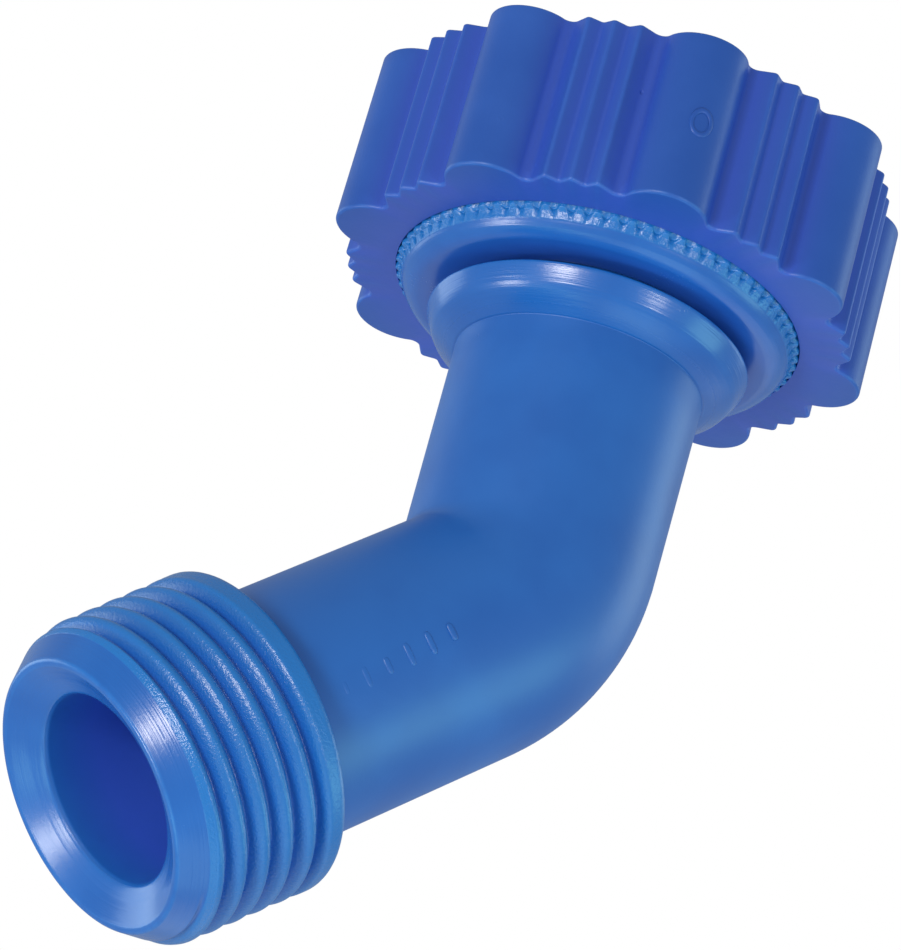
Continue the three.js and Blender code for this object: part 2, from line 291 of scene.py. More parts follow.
def hose_thread_tree():
    """Pulls the wall marked "threaded" in along a right-handed helix, never past its own profile."""
    shaping = Shaping("Hose thread", [
        ("Wall radius", FLOAT, CREST_R),
        ("Depth", FLOAT, THREAD_DEPTH),
        ("Pitch", FLOAT, THREAD_PITCH),
        ("Groove height", FLOAT, 0.0),
        ("Roundness", FLOAT, 2.0),
        ("Floor", FLOAT, 0.1),
        ("Full from", FLOAT, 0.0),
        ("Full to", FLOAT, 10.0),
        ("Runout", FLOAT, 0.8),
    ])
    x, y, z = shaping.place()
    radius = (x * x + y * y).op("SQRT")
    turn = y.op("ARCTAN2", x) / (2 * math.pi)
    phase = ((z - shaping.value("Groove height")) / shaping.value("Pitch") - turn).op("FRACT")
    away = (phase * 2.0 - 1.0).op("ABSOLUTE")
    reach = (away / (shaping.value("Floor").flipped() + 1.0)).least(1.0)
    wave = reach.op("POWER", shaping.value("Roundness"))
    low = ((z - shaping.value("Full from")) / shaping.value("Runout") + 1.0).ease(0.0, 1.0)
    high = ((shaping.value("Full to") - z) / shaping.value("Runout") + 1.0).ease(0.0, 1.0)
    depth = wave * low * high * shaping.value("Depth")
    pulled = radius.least(shaping.value("Wall radius") - depth)
    marked = shaping.attribute("threaded")
    # Painted shade: the groove's depth is kept for the material, which paints the groove darker in place of
    # its shade.
    painted_shade = (radius - pulled) / shaping.value("Depth") * marked * GROOVE_SHADE
    shaping.keep("painted_shade", shaping.attribute("painted_shade").most(painted_shade))
    shaping.set_radius(x, y, z, radius + (pulled - radius) * marked)
    return shaping.finish()


def knurl_tree():
    """Cuts rounded axial notches into the wall marked "notched", never past its own profile."""
    shaping = Shaping("Axial knurl", [
        ("Tip radius", FLOAT, KNURL_TIP_R),
        ("Depth", FLOAT, KNURL_DEPTH),
        ("Teeth", FLOAT, float(KNURL_TEETH)),
        ("Land", FLOAT, 0.1),
        ("Notch floor", FLOAT, 0.2),
        ("Unevenness", FLOAT, 0.3),
        ("Closed at", FLOAT, 0.0),
        ("Closing", FLOAT, 0.4),
    ])
    x, y, z = shaping.place()
    radius = (x * x + y * y).op("SQRT")
    turn = y.op("ARCTAN2", x) / (2 * math.pi)
    along = turn * shaping.value("Teeth")
    wave = (along.op("FRACT") * 2.0 - 1.0).op("ABSOLUTE").flipped() + 1.0
    notch = wave.ease(shaping.value("Land"), shaping.value("Notch floor").flipped() + 1.0)
    tooth = shaping.node("ShaderNodeTexNoise", noise_dimensions="1D")
    shaping.link((along + 0.5).op("FLOOR") * 3.7, tooth.inputs["W"])
    uneven = Num(shaping.tree, tooth.outputs["Fac"]) * shaping.value("Unevenness") + 1.0
    open_part = ((shaping.value("Closed at") - z) / shaping.value("Closing")).ease(0.0, 1.0)
    depth = notch * open_part * shaping.value("Depth") * uneven
    cut = radius.least(shaping.value("Tip radius") - depth)
    marked = shaping.attribute("notched")
    shaping.set_radius(x, y, z, radius + (cut - radius) * marked)
    return shaping.finish()


def elbow_bend_tree():
    """Turns a tube drawn along -Z round the corner, each of its lines on a fillet of its own radius."""
    shaping = Shaping("Elbow bend", [
        ("Angle", FLOAT, BEND_ANGLE),
        ("Radius", FLOAT, BEND_RADIUS),
        ("Spread", FLOAT, BEND_SPREAD),
        ("Top", FLOAT, bend_top),
        ("Corner", FLOAT, corner_z),
    ])
    x, y, z = shaping.place()
    angle = shaping.value("Angle")
    bend_r = shaping.value("Radius")
    corner = shaping.value("Corner")
    half_tan = (angle * 0.5).op("TANGENT")
    run = shaping.value("Top") - z
    arc = bend_r * angle
    turned = (run / bend_r).most(0.0).least(angle)
    fillet = bend_r + shaping.value("Spread") * x
    arc_x = x - fillet + fillet * turned.op("COSINE")
    arc_z = corner - (x - fillet) * half_tan - fillet * turned.op("SINE")
    reach = run - arc + bend_r * half_tan
    male_x = x * angle.op("COSINE") - reach * angle.op("SINE")
    male_z = corner - x * angle.op("SINE") - reach * angle.op("COSINE")
    on_arc = run.op("GREATER_THAN", 0.0)
    on_male = (run - arc).op("GREATER_THAN", 0.0)
    new_x = x + (arc_x - x) * on_arc + (male_x - arc_x) * on_male
    new_z = z + (arc_z - z) * on_arc + (male_z - arc_z) * on_male
    shaping.move_to(new_x, y, new_z)
    return shaping.finish()


def round_array_tree():
    """Copies one sector round Z and welds the copies edge to edge."""
    shaping = Shaping("Round array", [("Count", "NodeSocketInt", 8), ("Phase", FLOAT, 0.0)])
    points = shaping.node("GeometryNodeMeshLine")
    shaping.link(shaping.into.outputs["Count"], points.inputs["Count"])
    points.inputs["Offset"].default_value = (0, 0, 0)
    index = Num(shaping.tree, shaping.node("GeometryNodeInputIndex").outputs[0])
    count = Num(shaping.tree, shaping.into.outputs["Count"])
    turn = index * (2 * math.pi) / count + shaping.value("Phase")
    euler = shaping.node("ShaderNodeCombineXYZ")
    shaping.link(turn, euler.inputs["Z"])
    copies = shaping.node("GeometryNodeInstanceOnPoints")
    shaping.link(points.outputs["Mesh"], copies.inputs["Points"])
    shaping.link(shaping.geometry, copies.inputs["Instance"])
    shaping.link(euler.outputs[0], copies.inputs["Rotation"])
    real = shaping.node("GeometryNodeRealizeInstances")
    shaping.link(copies.outputs[0], real.inputs[0])
    weld = shaping.node("GeometryNodeMergeByDistance")
    weld.inputs["Distance"].default_value = 2e-6
    shaping.link(real.outputs[0], weld.inputs["Geometry"])
    shaping.geometry = weld.outputs[0]
    return shaping.finish()


def shape(piece, tree, material, **values):
    """Runs a tree on a piece with the given inputs and keeps the result as its plain mesh."""
    modifier = piece.modifiers.new(tree.name, "NODES")
    modifier.node_group = tree
    sockets = {item.name: item.identifier for item in tree.interface.items_tree if item.in_out == "INPUT"}
    for name, value in values.items():
        modifier[sockets[name.replace("_", " ").capitalize()]] = value
    modifier[sockets["Material"]] = material
    evaluated = piece.evaluated_get(bpy.context.evaluated_depsgraph_get())
    result = bpy.data.meshes.new_from_object(evaluated)
    piece.modifiers.remove(modifier)
    result.materials.clear()
    result.materials.append(material)
    result.polygons.foreach_set("material_index", [0] * len(result.polygons))
    piece.data = result
    piece.data.name = piece.name
    return piece


# ---- Outlines and turned meshes ----


def rounded(corners, closed=True, spacing=1.5, steps_per_90=7):
    """Points along an outline whose corners are (a, b, fillet radius[, spacing of the side after it])."""
    count = len(corners)
    points = []
    for i in range(count):
        here = Vector(corners[i][:2])
        radius = corners[i][2]
        inner = closed or 0 < i < count - 1
        arc = [here]
        if inner and radius > 0:
            before, after = corners[i - 1], corners[(i + 1) % count]
            back = Vector(before[:2]) - here
            ahead = Vector(after[:2]) - here
            room = min(side.length * (0.49 if other[2] > 0 else 0.98)
                       for side, other in ((back, before), (ahead, after)))
            back.normalize()
            ahead.normalize()
            between = back.angle(ahead)
            reach = min(radius / math.tan(between / 2), room)
            radius = reach * math.tan(between / 2)
            centre = here + (back + ahead).normalized() * math.hypot(radius, reach)
            start = here + back * reach - centre
            sweep = start.angle_signed(here + ahead * reach - centre)
            steps = max(2, round(abs(sweep) / (math.pi / 2) * steps_per_90))
            arc = [centre + Matrix.Rotation(-sweep * k / steps, 2) @ start for k in range(steps + 1)]
        if points:
            points += sides(points[-1], arc[0], corners[i - 1], spacing)
        points += arc
    if closed:
        points += sides(points[-1], points[0], corners[-1], spacing)
    return points


def sides(start, end, corner, spacing):
    """The points strictly between two ends of a straight side."""
    step = corner[3] if len(corner) > 3 else spacing
    parts = max(1, math.ceil((end - start).length / step))
    return [start.lerp(end, k / parts) for k in range(1, parts)]


def even_angles(count):
    """Evenly spaced angles all round, without the one at 180 degrees."""
    return [round(2 * math.pi * i / count - math.pi, 7) for i in range(1, count)]


def mesh_piece(name, rows, closed_round):
    """A grid of rows of points, closed along each column, as an object with its own UV map."""
    columns = len(rows[0])
    mesh = bmesh.new()
    grid = [[mesh.verts.new(point * MM) for point in row] for row in rows]
    skin = mesh.loops.layers.uv.new("Skin")
    last = columns if closed_round else columns - 1
    for i in range(len(rows)):
        below = (i + 1) % len(rows)
        for j in range(last):
            right = (j + 1) % columns
            face = mesh.faces.new((grid[i][j], grid[i][right], grid[below][right], grid[below][j]))
            face.smooth = True
            for loop, (row, column) in zip(face.loops, ((i, j), (i, j + 1), (i + 1, j + 1), (i + 1, j))):
                loop[skin].uv = (column / columns, row / len(rows))
    data = bpy.data.meshes.new(name)
    mesh.to_mesh(data)
    mesh.free()
    piece = bpy.data.objects.new(name, data)
    bpy.context.scene.collection.objects.link(piece)
    return piece


def face_outwards(piece):
    """Turns the faces the right way out, by the sign of the volume that they enclose."""
    work = bmesh.new()
    work.from_mesh(piece.data)
    if work.calc_volume(signed=True) < 0:
        bmesh.ops.reverse_faces(work, faces=work.faces)
    work.to_mesh(piece.data)
    work.free()
    return piece


def sharpness(before, here, after, side=1.0):
    """1 where an outline turns outwards more tightly than RIM_REACH, less on wider curves, 0 on flats."""
    arriving = here - before
    leaving = after - here
    turn = side * math.atan2(arriving.x * leaving.y - arriving.y * leaving.x, arriving.dot(leaving))
    return min(1.0, max(0.0, turn * RIM_REACH * 2.0 / (arriving.length + leaving.length)))


def convexity(outline):
    """The sharpness at each point of a closed outline, whichever way round it is drawn."""
    area = sum(outline[i - 1].x * p.y - p.x * outline[i - 1].y for i, p in enumerate(outline))
    side = 1.0 if area > 0 else -1.0
    ahead = outline[1:] + outline[:1]
    return [sharpness(outline[i - 1], p, ahead[i], side) for i, p in enumerate(outline)]


def store(piece, name, values):
    """Keeps a value for each vertex, for a tree or a material to read."""
    layer = piece.data.attributes.new(name, "FLOAT", "POINT")
    layer.data.foreach_set("value", values)


def turned_piece(name, outline, angles, marks=None):
    """A closed outline of (radius, height) turned about Z. Each mark is a value from 0 to 1 at its points."""
    rows = [[Vector((p.x * math.cos(a), p.x * math.sin(a), p.y)) for a in angles] for p in outline]
    piece = mesh_piece(name, rows, True)
    for mark, test in (marks or {}).items():
        store(piece, mark, [float(test(p.x, p.y)) for p in outline for _ in angles])
    store(piece, "rim", [value for value in convexity(outline) for _ in angles])
    store(piece, "along", [p.y * MM for p in outline for _ in angles])
    return piece


def joined(piece, *extras):
    """The piece's mesh with the extra closed meshes put into it."""
    work = bmesh.new()
    work.from_mesh(piece.data)
    for extra in extras:
        work.from_mesh(extra)
    work.to_mesh(piece.data)
    work.free()
    return piece


def raised_bar(radius, angle, z, half_width, half_height, proud):
    """A small pillow-shaped bar lying across a tube's surface, half buried in it."""
    work = bmesh.new()
    bmesh.ops.create_uvsphere(work, u_segments=20, v_segments=10, radius=1.0)
    for vert in work.verts:
        a, b, c = (math.copysign(abs(v) ** 0.6, v) for v in vert.co)
        reach = radius + c * proud
        turn = angle + a * half_width / radius
        vert.co = Vector((reach * math.cos(turn), reach * math.sin(turn), z + b * half_height)) * MM
    for face in work.faces:
        face.smooth = True
    data = bpy.data.meshes.new("raised_bar")
    work.to_mesh(data)
    work.free()
    return data


def gate_ring(centre_angle, offset, z, half_width, half_height, wire):
    """The witness ring of the moulding gate, following the curve of a lobe's outer face."""
    work = bmesh.new()
    around, across = 40, 8
    grid = []
    for i in range(around):
        t = 2 * math.pi * i / around
        row = []
        for k in range(across):
            u = 2 * math.pi * k / across
            grow = 1 + wire * math.cos(u) / half_width
            side = offset + half_width * grow * math.cos(t)
            height = z + half_height * grow * math.sin(t)
            face = GRIP_R - LOBE_R + math.sqrt(LOBE_R ** 2 - side ** 2)
            out = face + wire * 0.6 * math.sin(u) - 0.5 * GRIP_DRAFT
            spot = Matrix.Rotation(centre_angle, 2) @ Vector((out, side))
            row.append(work.verts.new(Vector((spot.x, spot.y, height)) * MM))
        grid.append(row)
    for i in range(around):
        for k in range(across):
            ahead, beside = (i + 1) % around, (k + 1) % across
            corners = (grid[i][k], grid[ahead][k], grid[ahead][beside], grid[i][beside])
            work.faces.new(corners).smooth = True
    bmesh.ops.recalc_face_normals(work, faces=work.faces)
    data = bpy.data.meshes.new("gate_ring")
    work.to_mesh(data)
    work.free()
    return data


# ---- Effects that several materials share ----


class Effect:
    """A shader node group under construction."""

    def __init__(self, name, inputs, outputs):
        self.tree = bpy.data.node_groups.new(name, "ShaderNodeTree")
        add_sockets(self.tree, inputs, outputs)
        self.into = self.tree.nodes.new("NodeGroupInput")
        self.out = self.tree.nodes.new("NodeGroupOutput")

    def value(self, name):
        return Num(self.tree, self.into.outputs[name])

    def place(self):
        return self.tree.nodes.new("ShaderNodeTexCoord").outputs["Object"]

    def attribute(self, name):
        read = self.tree.nodes.new("ShaderNodeAttribute")
        read.attribute_name = name
        return Num(self.tree, read.outputs["Fac"])

    def stretched(self, vector, scale):
        mapping = self.tree.nodes.new("ShaderNodeMapping")
        mapping.inputs["Scale"].default_value = scale
        self.tree.links.new(vector, mapping.inputs["Vector"])
        return mapping.outputs[0]

    def noise(self, vector, scale, detail=2.0, rough=0.5):
        node = self.tree.nodes.new("ShaderNodeTexNoise")
        node.inputs["Detail"].default_value = detail
        node.inputs["Roughness"].default_value = rough
        self.tree.links.new(vector, node.inputs["Vector"])
        if isinstance(scale, Num):
            self.tree.links.new(scale.socket, node.inputs["Scale"])
        else:
            node.inputs["Scale"].default_value = scale
        return Num(self.tree, node.outputs["Fac"])

    def cells(self, vector, scale):
        node = self.tree.nodes.new("ShaderNodeTexVoronoi")
        node.inputs["Scale"].default_value = scale
        self.tree.links.new(vector, node.inputs["Vector"])
        return Num(self.tree, node.outputs["Distance"]), node.outputs["Color"]

    def give(self, name, value):
        self.tree.links.new(value.socket, self.out.inputs[name])


def moulded_skin_effect():
    """Slow mottling of a moulded surface, its orange peel and its fine grain."""
    effect = Effect("Moulded skin", [
        ("Mottle size", FLOAT, 90.0),
        ("Peel", FLOAT, 1.0),
        ("Grain", FLOAT, 1.0),
    ], [("Mottle", FLOAT), ("Height", FLOAT), ("Sheen", FLOAT)])
    place = effect.place()
    mottle = effect.noise(place, effect.value("Mottle size"), 3.0)
    peel = effect.noise(place, 620.0, 2.0)
    grain = effect.noise(place, 5200.0, 1.0)
    effect.give("Mottle", mottle)
    effect.give("Height", peel * effect.value("Peel") + grain * effect.value("Grain") * 0.35)
    effect.give("Sheen", mottle * 0.6 + grain * 0.4)
    return effect.tree


def tool_lines_effect():
    """Fine rings left by the turned mould on the faces marked "lined", along the piece's own length."""
    effect = Effect("Tool lines", [("Strength", FLOAT, 1.0)], [("Lines", FLOAT), ("Polished", FLOAT)])
    along = effect.attribute("along")
    spread = effect.tree.nodes.new("ShaderNodeCombineXYZ")
    effect.tree.links.new(along.socket, spread.inputs["X"])
    drift = effect.noise(effect.place(), 70.0, 1.0)
    effect.tree.links.new((drift * 0.0006).socket, spread.inputs["Y"])
    coarse = effect.noise(spread.outputs[0], 3400.0, 3.0, 0.6)
    fine = effect.noise(spread.outputs[0], 9000.0, 1.0)
    where = effect.attribute("lined").clamped()
    effect.give("Lines", (coarse * 0.65 + fine * 0.35) * where * effect.value("Strength"))
    effect.give("Polished", where)
    return effect.tree


def handling_marks_effect():
    """Sparse nicks and short scuffs, 1 on a mark and 0 elsewhere."""
    effect = Effect("Handling marks", [("Amount", FLOAT, 0.5)], [("Nicks", FLOAT), ("Scuffs", FLOAT)])
    place = effect.place()
    warp = effect.noise(place, 900.0)
    distance, tint = effect.cells(place, 420.0)
    split = effect.tree.nodes.new("ShaderNodeSeparateColor")
    effect.tree.links.new(tint, split.inputs[0])
    chance = Num(effect.tree, split.outputs[0])
    chosen = (effect.value("Amount") * 0.06).op("GREATER_THAN", chance)
    nick = (distance + warp * 0.12).ease(0.16, 0.09) * chosen
    streaks = effect.noise(effect.stretched(place, (1.0, 1.0, 0.3)), 4200.0, 2.0, 0.7)
    patches = effect.noise(place, 170.0, 2.0)
    scuff = streaks.ease(0.58, 0.75) * patches.ease(0.58, 0.74) * effect.value("Amount")
    effect.give("Nicks", nick)
    effect.give("Scuffs", scuff)
    return effect.tree


def edge_highlight_effect():
    """Painted edge highlight: 1 along the outer edges, where a pale line is painted as the light catching
    their rounding, 0 on flats.
    """
    effect = Effect("Edge highlight", [("Strength", FLOAT, 0.5)], [("Edge", FLOAT)])
    broken = effect.noise(effect.place(), 1100.0, 2.0).ease(0.25, 0.7) * 0.7 + 0.3
    effect.give("Edge", effect.attribute("rim") * broken * effect.value("Strength"))
    return effect.tree


def painted_shade_effect():
    """Painted shade: how deep a spot lies in a groove or bore, a little mottled, for the darker colour
    painted down there in place of real shade.
    """
    effect = Effect("Painted recess shade", [("Strength", FLOAT, 1.0)], [("Painted shade", FLOAT)])
    depth = effect.attribute("painted_shade")
    drift = effect.noise(effect.place(), 260.0, 2.0) * 0.3 + 0.85
    effect.give("Painted shade", (depth.clamped() * drift).least(1.0) * effect.value("Strength"))
    return effect.tree


def crest_speckle_and_highlight_effect():
    """Sparkling pits on machined crests and teeth, and the mask for the painted highlight on them."""
    effect = Effect("Crest speckle and highlight", [("Strength", FLOAT, 1.0)], [("Speckle", FLOAT), ("Crest polish and highlight", FLOAT)])
    where = effect.attribute("speckled_and_highlighted").clamped()
    pits = effect.noise(effect.place(), 4000.0, 2.0, 0.65)
    effect.give("Speckle", pits * where * effect.value("Strength"))
    effect.give("Crest polish and highlight", where)
    return effect.tree


moulded_skin = moulded_skin_effect()
tool_lines = tool_lines_effect()
handling_marks = handling_marks_effect()
edge_highlight_group = edge_highlight_effect()
painted_shade_group = painted_shade_effect()
crest_speckle_and_highlight = crest_speckle_and_highlight_effect()


# ---- Materials ----


class Finish:
    """A material under construction: a Principled BSDF and the effects that feed it."""

    def __init__(self, name):
        self.material = bpy.data.materials.new(name)
        self.material.use_nodes = True
        self.tree = self.material.node_tree
        self.shader = self.tree.nodes["Principled BSDF"]

    def effect(self, group, **values):
        node = self.tree.nodes.new("ShaderNodeGroup")
        node.node_tree = group
        for name, value in values.items():
            node.inputs[name.replace("_", " ").capitalize()].default_value = value
        return {out.name: Num(self.tree, out) for out in node.outputs}

    def blend(self, mask, low, high):
        node = self.tree.nodes.new("ShaderNodeMix")
        node.data_type = "RGBA"
        self.tree.links.new(mask.socket, node.inputs["Factor"])
        for value, socket in ((low, node.inputs["A"]), (high, node.inputs["B"])):
            if isinstance(value, Num):
                self.tree.links.new(value.socket, socket)
            else:
                socket.default_value = (*value, 1.0)
        return Num(self.tree, node.outputs["Result"])

    def into(self, name, value):
        self.tree.links.new(value.socket, self.shader.inputs[name])

    def bump(self, height, distance, strength=1.0):
        node = self.tree.nodes.new("ShaderNodeBump")
        node.inputs["Distance"].default_value = distance
        node.inputs["Strength"].default_value = strength
        self.tree.links.new(height.socket, node.inputs["Height"])
        self.tree.links.new(node.outputs[0], self.shader.inputs["Normal"])


def blue_plastic(name, deep, light, painted_shade, crest_highlight, roughness, polish, ior, peel, grain, marks, lines, rims):
    finish = Finish(name)
    skin = finish.effect(moulded_skin, peel=peel, grain=grain)
    ruled = finish.effect(tool_lines, strength=lines)
    wear = finish.effect(handling_marks, amount=marks)
    edge = finish.effect(edge_highlight_group, strength=rims)
    recess_shade = finish.effect(painted_shade_group, strength=0.9)
    speckle = finish.effect(crest_speckle_and_highlight, strength=1.0)
    colour = finish.blend(skin["Mottle"].ease(0.35, 0.65), deep, light)
    # Painted highlight: thread crests and knurl teeth are painted a lighter teal, where the light catches
    # them.
    colour = finish.blend(speckle["Crest polish and highlight"] * 0.8, colour, crest_highlight)
    # Painted shade: grooves, bore, the nut's gap and the grip's valleys are painted a deeper violet-blue in
    # place of their shade.
    colour = finish.blend(recess_shade["Painted shade"], colour, painted_shade)
    # Painted highlight: a pale line along the rounded edges and ridge tips, where the light would catch them.
    pale = (light[0] * 1.4, light[1] * 1.6 + 0.03, light[2] * 1.3 + 0.05)
    colour = finish.blend(edge["Edge"], colour, pale)
    finish.into("Base Color", colour)
    shine = ruled["Polished"].most(speckle["Crest polish and highlight"] * 0.75) * polish
    rough = skin["Sheen"] * 0.10 + (roughness - 0.05) + wear["Scuffs"] * 0.10 - shine
    finish.into("Roughness", rough)
    finish.shader.inputs["IOR"].default_value = ior
    height = skin["Height"] + ruled["Lines"] * 1.5 - wear["Nicks"] * 2.5 + wear["Scuffs"] * 0.5
    finish.bump(height + speckle["Speckle"] * 1.8, 0.00003)
    return finish.material


# In both blue plastics, the third colour is painted shade in grooves, bores and gaps, the fourth a painted
# highlight on crests and teeth, and the last value sets the painted pale edge highlight.
glossy_azure = blue_plastic(
    "Glossy azure plastic",
    deep=(0.006, 0.098, 0.40), light=(0.010, 0.120, 0.45),
    painted_shade=(0.034, 0.098, 0.58), crest_highlight=(0.006, 0.155, 0.48),
    roughness=0.40, polish=0.15, ior=1.6, peel=0.5, grain=0.35, marks=0.5, lines=1.0, rims=0.35,
)
satin_violet_blue = blue_plastic(
    "Satin violet-blue plastic",
    deep=(0.014, 0.076, 0.36), light=(0.020, 0.091, 0.40),
    painted_shade=(0.030, 0.080, 0.45), crest_highlight=(0.020, 0.105, 0.45),
    roughness=0.42, polish=0.0, ior=1.46, peel=0.9, grain=0.6, marks=0.8, lines=0.0, rims=0.3,
)


def washer_rubber():
    finish = Finish("Black rubber")
    skin = finish.effect(moulded_skin, peel=1.4, grain=1.6)
    finish.into("Base Color", finish.blend(skin["Mottle"], (0.010, 0.010, 0.012), (0.024, 0.025, 0.028)))
    finish.into("Roughness", skin["Sheen"] * 0.2 + 0.55)
    finish.bump(skin["Height"], 0.00006)
    return finish.material


black_rubber = washer_rubber()


# ---- Pieces ----

hose_thread = hose_thread_tree()
knurl = knurl_tree()
elbow_bend = elbow_bend_tree()
round_array = round_array_tree()

THREAD_ROWS = 0.11
BEND_ROWS = 0.45


def share_of(value):
    """The value kept between 0 and 1."""
    return min(1.0, max(0.0, value))


def elbow_tube():
    """The whole tube, inside and out, from the collar to the lip and back up the bore."""
    crest_end = lip_z + BARREL_LENGTH
    cone_foot = COLLAR_TOP - COLLAR_TAPER
    outline = rounded([
        (SPIGOT_WALL_R, COLLAR_TOP, 0.2),
        (COLLAR_R, COLLAR_TOP, 0.13),
        (COLLAR_R - COLLAR_LIP_LEAN, COLLAR_TOP - COLLAR_LIP, 0.8),
        (COLLAR_R - COLLAR_LEAN, COLLAR_TOP - COLLAR_BREAK, 1.7),
        (TUBE_R + COLLAR_STEP, cone_foot, 0.12),
        (TUBE_R, cone_foot - 0.04, 0.08),
        (TUBE_R, bend_top, 0.0, BEND_ROWS),
        (TUBE_R, bend_end, 0.0),
        (TUBE_R + TUBE_FLARE, crest_end, 0.35),
        (CREST_R, crest_end, 0.75, THREAD_ROWS),
        (CREST_R, lip_z + NOSE_LENGTH, 1.2, THREAD_ROWS),
        (LIP_R, lip_z, 0.42),
        (LIP_R - LIP_FLAT, lip_z + 0.02, 0.5),
        (BORE_R + FUNNEL_FLARE, lip_z + FUNNEL_DEPTH * FUNNEL_WAIST, 2.2),
        (BORE_R, lip_z + FUNNEL_DEPTH + 0.1, 0.7),
        (BORE_R, bend_end, 0.0, BEND_ROWS),
        (BORE_R, bend_top, 0.0),
        (BORE_R, COLLAR_TOP - SPIGOT_DEPTH, 0.1),
        (SPIGOT_WALL_R, COLLAR_TOP - SPIGOT_DEPTH, 0.1),
    ])
    marks = {
        "threaded": lambda r, z: r > LIP_R - 0.2 and z < crest_end - 0.2,
        # Painted highlight: the thread's crests get a lighter teal colour as well as their pits.
        "speckled_and_highlighted": lambda r, z: r > CREST_R - 0.6 and z < crest_end,
        # Painted shade: the bore is painted darker the further in it goes from the funnel.
        "painted_shade": lambda r, z: share_of((z - lip_z - FUNNEL_DEPTH) / BORE_SHADE_RUN) * (r < SPIGOT_WALL_R),
        "lined": lambda r, z: z > cone_foot + 0.1 or (z < lip_z + NOSE_LENGTH - 0.2 and r > BORE_R + 0.1),
    }
    piece = turned_piece("elbow_tube", outline, even_angles(192), marks)
    shape(piece, hose_thread, glossy_azure, wall_radius=CREST_R, depth=THREAD_DEPTH,
          groove_height=lip_z + THREAD_START + THREAD_PITCH / 2, roundness=1.9, floor=0.05,
          full_from=lip_z + 2.2, full_to=crest_end - 2.3, runout=1.0)
    first_tick = bend_top - (TICKS_FROM + bend_arc - bend_setback)
    ticks = []
    for i, half_width in enumerate(TICK_HALF_WIDTHS):
        angle = TICK_ANGLE + TICK_DRIFT * i
        ticks.append(raised_bar(TUBE_R, angle, first_tick - i * TICK_STEP, half_width, TICK_HALF, TICK_PROUD))
    joined(piece, *ticks)
    shape(piece, elbow_bend, glossy_azure)
    return face_outwards(piece)


def tailpiece():
    """The flanged insert that stands in the collar's socket and holds the nut."""
    spigot_r = tail_high[0] - FLANGE_PAST_SPIGOT
    flange_low = tail_high[2] - FLANGE_THICK
    seat = COLLAR_TOP + SEAT_GAP
    outline = rounded([
        (TAIL_BORE_R, tail_low[2], 0.2),
        (spigot_r, tail_low[2], 0.3),
        (spigot_r, seat, 0.1),
        (TAIL_STEM_R, seat, 0.2),
        (TAIL_STEM_R, flange_low, 0.15),
        (tail_high[0], flange_low, 0.25),
        (tail_high[0], tail_high[2], 0.25),
        (TAIL_BORE_R, tail_high[2], 0.3),
    ])
    piece = turned_piece("flanged_tailpiece", outline, even_angles(128))
    piece.data.materials.append(glossy_azure)
    return face_outwards(piece)


def washer():
    """The flat rubber ring inside the nut, its outer edges rounded more than its bore's."""
    outline = rounded([
        (WASHER_BORE_R, washer_low[2], 0.3),
        (washer_high[0], washer_low[2], 0.5),
        (washer_high[0], washer_high[2], 0.6),
        (WASHER_BORE_R, washer_high[2], 0.3),
    ], spacing=0.5)
    piece = turned_piece("rubber_washer", outline, even_angles(128))
    piece.data.materials.append(black_rubber)
    return face_outwards(piece)


def nut():
    """The nut's whole wall: rounded shoulder, knurl, lead-in, female thread, chamber and shelf."""
    bottom, top = nut_low[2], nut_high[2]
    foot_r = KNURL_TIP_R - KNURL_END
    slope_r = foot_r + SHOULDER_FLAT * math.sin(SHOULDER_TURN)
    slope_z = TOOTH_FOOT - SHOULDER_FLAT * math.cos(SHOULDER_TURN)
    shoulder_round = (slope_z - bottom) / (1 + math.sin(SHOULDER_TURN))
    middle_r = slope_r - shoulder_round * math.cos(SHOULDER_TURN)
    middle_z = bottom + shoulder_round
    shoulder = [
        (middle_r + shoulder_round * math.cos(t), middle_z + shoulder_round * math.sin(t), 0.0)
        for t in (-math.pi / 2 + (SHOULDER_TURN + math.pi / 2) * k / 14 for k in range(15))
    ]
    outline = rounded([
        (THROAT_R, bottom, 0.45),
        *shoulder,
        (foot_r, TOOTH_FOOT, 0.1),
        (KNURL_TIP_R, TOOTH_FOOT + KNURL_CHAMFER, 0.12),
        (KNURL_TIP_R, top, 0.3),
        (NUT_ROOT_R + 0.5, top, 0.2),
        (NUT_ROOT_R, top - LEAD_IN, 0.1, 0.12),
        (NUT_ROOT_R, NUT_THREAD_FOOT, 0.1),
        (CHAMBER_R, CHAMBER_TOP, 0.1),
        (CHAMBER_R, SHELF_TOP, 0.15),
        (THROAT_R, SHELF_TOP, 0.15),
    ], steps_per_90=12)
    marks = {
        "notched": lambda r, z: r > 15.0,
        "threaded": lambda r, z: 13.0 < r < 14.5 and z > 0.5,
        # Painted highlight: the knurl's tips get a lighter teal colour as well as their pits.
        "speckled_and_highlighted": lambda r, z: r > KNURL_TIP_R - 0.7,
        # Painted shade: the nut's bottom face and inner walls are painted darker towards the throat, where
        # the gap above the collar is shaded.
        "painted_shade": lambda r, z: GAP_SHADE * share_of((GAP_SHADE_FROM - r) / GAP_SHADE_RUN),
        "lined": lambda r, z: z < SHELF_TOP - 0.5 and r > THROAT_R + 0.3,
    }
    piece = turned_piece("knurled_nut", outline, even_angles(KNURL_TEETH * 10), marks)
    shape(piece, hose_thread, glossy_azure, wall_radius=NUT_ROOT_R, depth=THREAD_DEPTH,
          groove_height=0.0, roundness=1.5, floor=0.2,
          full_from=1.8, full_to=top - 1.6, runout=0.9)
    shape(piece, knurl, glossy_azure, land=0.14, notch_floor=0.12, unevenness=0.9,
          closed_at=grip_low[2] + KNURL_HIDDEN, closing=0.3)
    return face_outwards(piece)


